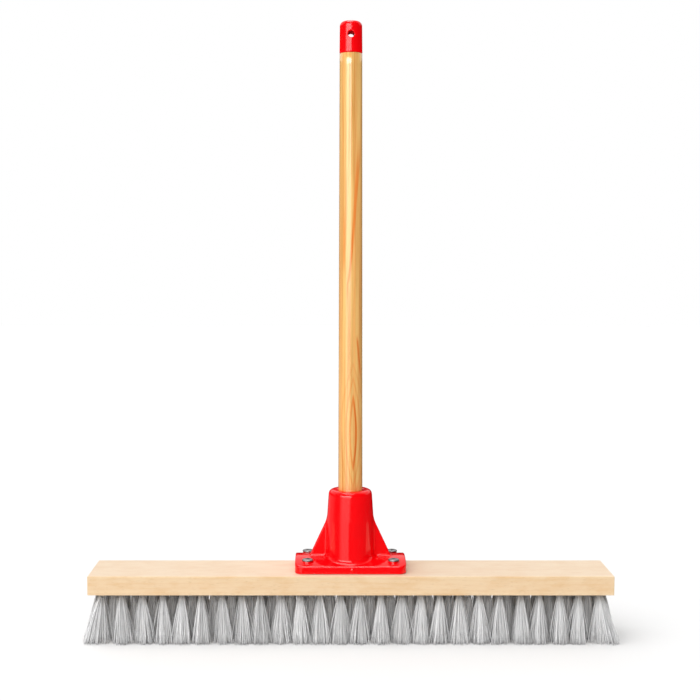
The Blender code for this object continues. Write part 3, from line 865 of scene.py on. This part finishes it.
def screw_tree(master):
    """The four bracket screws: one turned screw set on the plate's four bosses."""
    tree, nodes, given = new_tree("Bracket screws", [
        ("Spacing X", "NodeSocketFloat", 0.1006),
        ("Spacing Y", "NodeSocketFloat", 0.045),
        ("Middle Y", "NodeSocketFloat", 0.004),
        ("Seed", "NodeSocketInt", 5),
        ("Material", "NodeSocketMaterial", None),
    ])
    grid = nodes.add(
        "GeometryNodeMeshGrid",
        None,
        {"Size X": given["Spacing X"], "Size Y": given["Spacing Y"], "Vertices X": 2, "Vertices Y": 2},
    )
    move = nodes.join(0.0, given["Middle Y"], 0.0)
    moved = nodes.add("GeometryNodeTransform", None, {"Geometry": grid, "Translation": move})
    screw = nodes.add("GeometryNodeObjectInfo", None, {"Object": master}, output="Geometry")
    turn = nodes.join(0.0, 0.0, random_value(nodes, 0.0, math.tau, given["Seed"], 1))
    placed = nodes.add(
        "GeometryNodeInstanceOnPoints", None, {"Points": moved, "Instance": screw, "Rotation": turn}
    )
    finish_tree(nodes, placed, given["Material"])
    return tree


# ---------------------------------------------------------------- operators
class PUSHBROOM_OT_stage(bpy.types.Operator):
    """Make the pale floor, the bright surroundings, the lights and the camera"""
    bl_idname = "push_broom.make_stage"
    bl_label = "Stage"

    def execute(self, context):
        scene = context.scene
        scene.view_settings.view_transform = "Standard"
        self.make_surroundings(scene)
        self.make_floor()
        self.make_lights(scene)
        self.make_camera(scene)
        return {"FINISHED"}

    def make_surroundings(self, scene):
        """White to look at, a soft light from the left, and softboxes in a dark room for gloss."""
        world = bpy.data.worlds.new("studio")
        scene.world = world
        world.use_nodes = True
        world.cycles.sampling_method = "NONE"
        nodes = Nodes(world.node_tree)
        seen = nodes.add("ShaderNodeLightPath", output="Is Camera Ray")
        mirrored = nodes.part(seen, "Is Glossy Ray")
        x, y, z = nodes.split(nodes.part(nodes.add("ShaderNodeTexCoord"), "Generated"))

        # what dull surfaces get: white, dimmer from the right and a little dimmer from above
        wash = 1.0 - nodes.fade(x, -0.05, 0.85) * 0.73
        wash = wash * (1 - nodes.fade(z, -0.9, 0.6) * 0.10)

        # what glossy surfaces get: a tall box at the front left, a backdrop, a low card at the
        # back left and a lamp overhead, in a nearly black room
        degrees = nodes.calc("ARCTAN2", x, -y) * (180 / math.pi)
        right_edge = nodes.fade(z, -0.14, 0.0, -8.0, 5.0)
        box = nodes.fade(degrees, -62.0, -38.0) * (1 - nodes.fade(degrees - right_edge, -3.0, 1.0))
        strength = 1.35 + nodes.fade(z, -0.10, 0.04) * 1.35 + nodes.fade(z, 0.161, 0.173) * 5.0
        softbox = box * strength * (1 - nodes.fade(z, 0.45, 0.6))
        backdrop = nodes.fade(z, 0.205, 0.27) * nodes.fade(y, 0.0, 0.3) * 0.80
        low = 1 - nodes.fade(z, -0.12, 0.02)
        card = nodes.fade(-x, 0.25, 0.65) * nodes.fade(y, -0.2, 0.2) * low * 0.35
        overhead = nodes.fade(z, 0.86, 0.94) * nodes.window(x, -0.42, -0.32, 0.06, 0.26) * 5.0
        room = 0.006 + softbox + backdrop + card + overhead

        given = wash * (1 - mirrored) + room * mirrored
        level = given * (1 - seen) + seen
        white = (1.0, 1.0, 1.0, 1.0)
        light = nodes.add("ShaderNodeBackground", None, {"Color": white, "Strength": level})
        end = nodes.tree.nodes.new("ShaderNodeOutputWorld")
        nodes.feed(end.inputs[0], light)

    def make_floor(self):
        material, nodes, shader = new_shader("studio_floor")
        shader.inputs["Base Color"].default_value = (0.805, 0.805, 0.805, 1.0)
        shader.inputs["Roughness"].default_value = 0.9
        shader.inputs["Specular IOR Level"].default_value = 0.0
        bm = bmesh.new()
        bmesh.ops.create_grid(bm, x_segments=8, y_segments=8, size=6.0)
        floor = new_object("studio_floor", mesh_from(bm, "studio_floor"))
        paint(floor, material)
        floor.visible_glossy = False

    def make_lights(self, scene):
        sun = bpy.data.lights.new("sky_light", "SUN")
        sun.energy = 2.1
        sun.angle = math.radians(84)
        lamp = bpy.data.objects.new("sky_light", sun)
        lamp.rotation_euler = (math.radians(32), 0.0, math.radians(-35))
        lamp.visible_glossy = False
        scene.collection.objects.link(lamp)

    def make_camera(self, scene):
        camera = bpy.data.cameras.new("camera")
        camera.sensor_width = 36.0
        camera.lens = 64.14
        camera.shift_x = 0.0327
        camera.clip_start = 0.05
        camera.clip_end = 60.0
        view = bpy.data.objects.new("camera", camera)
        view.location = (-0.02745, -1.4537, 0.4586)
        view.rotation_euler = (math.radians(90 - 4.6), 0.0, 0.0)
        scene.collection.objects.link(view)
        scene.camera = view


class PUSHBROOM_OT_block(bpy.types.Operator):
    """Finish the wooden block"""
    bl_idname = "push_broom.make_block"
    bl_label = "Block"

    def execute(self, context):
        paint(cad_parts["head_block"], block_finish(context.scene.broom_wood))
        return {"FINISHED"}


class PUSHBROOM_OT_bracket(bpy.types.Operator):
    """Mould the bracket: crowned plate, filleted socket, gussets and screw bosses"""
    bl_idname = "push_broom.make_bracket"
    bl_label = "Bracket"

    def execute(self, context):
        sizes = context.scene.broom_bracket
        mesh = remeshed("handle_bracket", "moulded_bracket", sizes.cell)
        settle(mesh, lambda points: bracket_distance(points, sizes), sizes.cell)
        mesh.shade_smooth()
        bracket = new_object("moulded_bracket", mesh)
        paint(bracket, plastic_finish(sizes))
        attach(bracket, "head")
        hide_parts("handle_bracket")
        return {"FINISHED"}


class PUSHBROOM_OT_screws(bpy.types.Operator):
    """Turn one wood screw and set it on each boss"""
    bl_idname = "push_broom.make_screws"
    bl_label = "Screws"

    def execute(self, context):
        master = self.make_master()
        low, high = SCREW_BOXES[0]
        far_low, far_high = SCREW_BOXES[3]
        spacing = (far_low + far_high) / 2 - (low + high) / 2
        values = {
            "Spacing X": spacing.x,
            "Spacing Y": spacing.y,
            "Middle Y": AXIS_Y,
            "Material": steel_finish(),
        }
        screws = run_tree("wood_screws", screw_tree(master), values)
        bpy.data.objects.remove(master)
        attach(screws, "head")
        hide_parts(*SCREW_NODES)
        return {"FINISHED"}

    def make_master(self):
        """One screw on the z axis: domed head with a cross recess, shank, thread and point."""
        low, high = SCREW_BOXES[0]
        profile = self.screw_profile(high.z - HEAD_DROP, low.z)
        master = new_object("screw_master", turned_mesh("screw_master", profile, 40))
        blades = []
        length_first = (RECESS_LENGTH, RECESS_WIDTH, RECESS_DEPTH)
        width_first = (RECESS_WIDTH, RECESS_LENGTH, RECESS_DEPTH)
        for number, size in enumerate((length_first, width_first)):
            bm = bmesh.new()
            placement = Matrix.Translation((0.0, 0.0, high.z)) @ Matrix.Diagonal((*size, 1.0))
            bmesh.ops.create_cube(bm, size=1.0, matrix=placement)
            blade = new_object(f"blade_{number}", mesh_from(bm, f"blade_{number}"))
            cut = master.modifiers.new(blade.name, "BOOLEAN")
            cut.operation = "DIFFERENCE"
            cut.solver = "EXACT"
            cut.object = blade
            blades.append(blade)
        bpy.context.view_layer.update()
        cut_mesh = evaluated_copy(master, "screw_master_cut")
        smooth(cut_mesh, 35)
        master.modifiers.clear()
        master.data = cut_mesh
        for blade in blades:
            bpy.data.objects.remove(blade)
        return master

    def screw_profile(self, seat, point):
        """Radius and height from the top of the head down to the point."""
        profile = [
            (HEAD_RADIUS * math.sin(a) ** 0.62, seat + 0.0004 + 0.0017 * math.cos(a) ** 0.55)
            for a in [math.radians(90 * i / 12) for i in range(12)]
        ]
        profile += [(HEAD_RADIUS, seat + 0.0003), (HEAD_RADIUS - 0.0002, seat), (SHANK_RADIUS, seat)]
        thread_top = seat - 0.009
        thread_bottom = point + 0.004
        pitch = (thread_top - thread_bottom) / THREAD_TURNS
        for i in range(THREAD_TURNS):
            z = thread_top - i * pitch
            profile += [
                (THREAD_ROOT_RADIUS, z),
                (SHANK_RADIUS, z - pitch * 0.35),
                (THREAD_ROOT_RADIUS, z - pitch * 0.7),
            ]
        return profile + [(0.0016, thread_bottom), (0.0, point)]


class PUSHBROOM_OT_bristles(bpy.types.Operator):
    """Grow the four rows of bristle tufts"""
    bl_idname = "push_broom.make_bristles"
    bl_label = "Bristles"

    def execute(self, context):
        sizes = context.scene.broom_bristles
        tree = bristle_tree()
        material = bristle_finish(sizes)
        leans = (-OUTER_LEAN, 0.0, 0.0, OUTER_LEAN)
        for number, (row, count, reach, y) in enumerate(TUFT_ROWS):
            values = {
                "Tufts": count,
                "Reach": reach,
                "Row Y": y,
                "Root Z": BLOCK_LOW.z,
                "Filaments": sizes.filaments,
                "Thickness": sizes.thickness,
                "Root Radius": sizes.root_radius,
                "Fan Width": sizes.fan_width,
                "Fan Depth": sizes.fan_depth,
                "End Reach": BRISTLE_SPREAD,
                "Lean Y": leans[number],
                "Unevenness": sizes.unevenness,
                "Seed": 100 * (number + 1),
                "Material": material,
            }
            bristles = run_tree(f"bristles_{row}", tree, values)
            bristles.data.shade_smooth()
            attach(bristles, "head")
            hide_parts(*[f"tufts_{row}_{n + 1}" for n in range(GROUPS_PER_ROW)])
        return {"FINISHED"}


class PUSHBROOM_OT_handle(bpy.types.Operator):
    """Turn the wooden handle"""
    bl_idname = "push_broom.make_handle"
    bl_label = "Handle"

    def execute(self, context):
        settings = context.scene.broom_wood
        shoulder = CAP_LOW.z - GAP
        rim = BRACKET_HIGH.z
        top, tip = HANDLE_HIGH.z, HANDLE_LOW.z
        neck_top = shoulder - SHOULDER_BREAK
        profile = [
            (0.0, top),
            (TENON_RADIUS - END_BREAK, top),
            (TENON_RADIUS, top - END_BREAK),
            (TENON_RADIUS, shoulder),
            (NECK_RADIUS - SHOULDER_BREAK, shoulder),
            (NECK_RADIUS, neck_top),
        ]
        stations = 40
        for i in range(1, stations):
            share = i / stations
            radius = NECK_RADIUS + (HANDLE_RADIUS - NECK_RADIUS) * share
            profile.append((radius, neck_top + (rim - neck_top) * share))
        profile += [
            (HANDLE_RADIUS, rim),
            (TIP_RADIUS, tip + END_BREAK),
            (TIP_RADIUS - END_BREAK, tip),
            (0.0, tip),
        ]
        mesh = turned_mesh("turned_handle", profile, settings.steps, AXIS_Y)
        smooth(mesh, 50)
        handle = new_object("turned_handle", mesh)
        paint(handle, pine_finish(settings))
        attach(handle, "shaft")
        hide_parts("handle")
        return {"FINISHED"}


class PUSHBROOM_OT_cap(bpy.types.Operator):
    """Mould the hanging cap with its rounded cross hole"""
    bl_idname = "push_broom.make_cap"
    bl_label = "Cap"

    def execute(self, context):
        mesh = remeshed("handle_cap", "moulded_cap", CAP_CELL)
        settle(mesh, cap_distance, CAP_CELL)
        mesh.shade_smooth()
        cap = new_object("moulded_cap", mesh)
        paint(cap, plastic_finish(context.scene.broom_bracket))
        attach(cap, "shaft")
        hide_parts("handle_cap")
        return {"FINISHED"}


class PUSHBROOM_PT_panel(bpy.types.Panel):
    """The broom's pieces and their settings"""
    bl_idname = "PUSHBROOM_PT_panel"
    bl_label = "Push Broom"
    bl_space_type = "VIEW_3D"
    bl_region_type = "UI"
    bl_category = "Broom"

    def draw(self, context):
        layout = self.layout
        for operator in OPERATORS:
            layout.operator(operator.bl_idname)
        scene = context.scene
        for settings in (scene.broom_bracket, scene.broom_bristles, scene.broom_wood):
            box = layout.box()
            for name in settings.bl_rna.properties.keys():
                if name not in ("rna_type", "name"):
                    box.prop(settings, name)


OPERATORS = (
    PUSHBROOM_OT_stage,
    PUSHBROOM_OT_block,
    PUSHBROOM_OT_bracket,
    PUSHBROOM_OT_screws,
    PUSHBROOM_OT_bristles,
    PUSHBROOM_OT_handle,
    PUSHBROOM_OT_cap,
)
CLASSES = (BristleSettings, BracketSettings, WoodSettings, *OPERATORS, PUSHBROOM_PT_panel)


def register():
    for cls in CLASSES:
        bpy.utils.register_class(cls)
    bpy.types.Scene.broom_bristles = bpy.props.PointerProperty(type=BristleSettings)
    bpy.types.Scene.broom_bracket = bpy.props.PointerProperty(type=BracketSettings)
    bpy.types.Scene.broom_wood = bpy.props.PointerProperty(type=WoodSettings)


def unregister():
    del bpy.types.Scene.broom_wood
    del bpy.types.Scene.broom_bracket
    del bpy.types.Scene.broom_bristles
    for cls in reversed(CLASSES):
        bpy.utils.unregister_class(cls)


def main():
    register()
    bpy.ops.push_broom.make_stage()
    bpy.ops.push_broom.make_block()
    bpy.ops.push_broom.make_bracket()
    bpy.ops.push_broom.make_screws()
    bpy.ops.push_broom.make_bristles()
    bpy.ops.push_broom.make_handle()
    bpy.ops.push_broom.make_cap()


if __name__ == "__main__":
    main()
